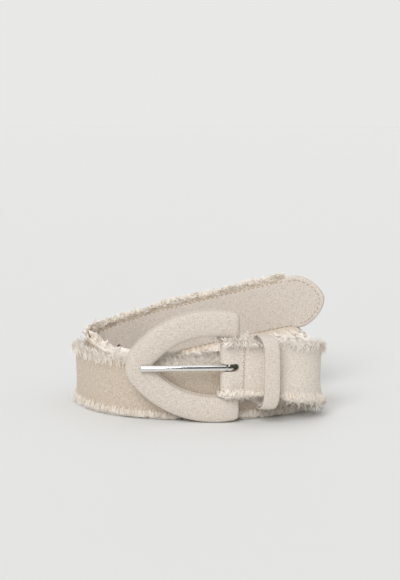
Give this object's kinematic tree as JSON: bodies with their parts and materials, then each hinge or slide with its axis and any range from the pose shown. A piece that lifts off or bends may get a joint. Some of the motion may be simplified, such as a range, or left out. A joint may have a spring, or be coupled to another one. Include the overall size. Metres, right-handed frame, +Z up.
{
  "type": "belt",
  "caption": "Linen waist belt, loosely coiled on its edge: frayed strap, cloth-covered pointed-arch buckle with steel prong, sliding keeper loop.",
  "frame": {"origin": "under the middle of the belt's bounding box, on the surface that it stands on", "axes": "+Z up, -Y towards the viewer of the buckle's face, +X from the buckle's point towards its bar"},
  "size_m": [0.1808, 0.1114, 0.0861],
  "materials": {
    "cloth": "woven natural linen, oatmeal, slubbed",
    "stiffener": "non-woven belt stiffener",
    "thread": "spun sewing thread",
    "frame_plastic": "moulded buckle former",
    "polished_steel": "polished"
  },
  "bodies": {
    "strap": {"strap_face": "cloth", "strap_core": "stiffener", "strap_lining": "cloth", "needle_thread_upper": "thread", "needle_thread_lower": "thread", "needle_thread_tip": "thread", "bobbin_thread_upper": "thread", "bobbin_thread_lower": "thread", "bobbin_thread_tip": "thread", "fold_needle_thread": "thread", "fold_bobbin_thread": "thread"},
    "buckle": {"buckle_frame": "frame_plastic", "buckle_cover": "cloth", "buckle_backing": "cloth", "crossbar": "polished_steel"},
    "prong": {"prong": "polished_steel"},
    "keeper": {"keeper_lining": "cloth", "keeper_core": "stiffener", "keeper_face": "cloth", "keeper_thread": "thread"}
  },
  "joints": [
    {"name": "buckle_swing", "type": "hinge", "parent": "strap", "child": "buckle", "pos_m": [0.01849, -0.04379, 0.03821], "axis": [0, 0, 1], "range_deg": [0, 20]},
    {"name": "prong_pivot", "type": "hinge", "parent": "buckle", "child": "prong", "pos_m": [0.01849, -0.04379, 0.03821], "axis": [0, 0, 1], "range_deg": [0, 70]},
    {"name": "keeper_slide", "type": "slide", "parent": "strap", "child": "keeper", "axis": [1, 0, 0], "range_m": [0, 0.007]}
  ]
}
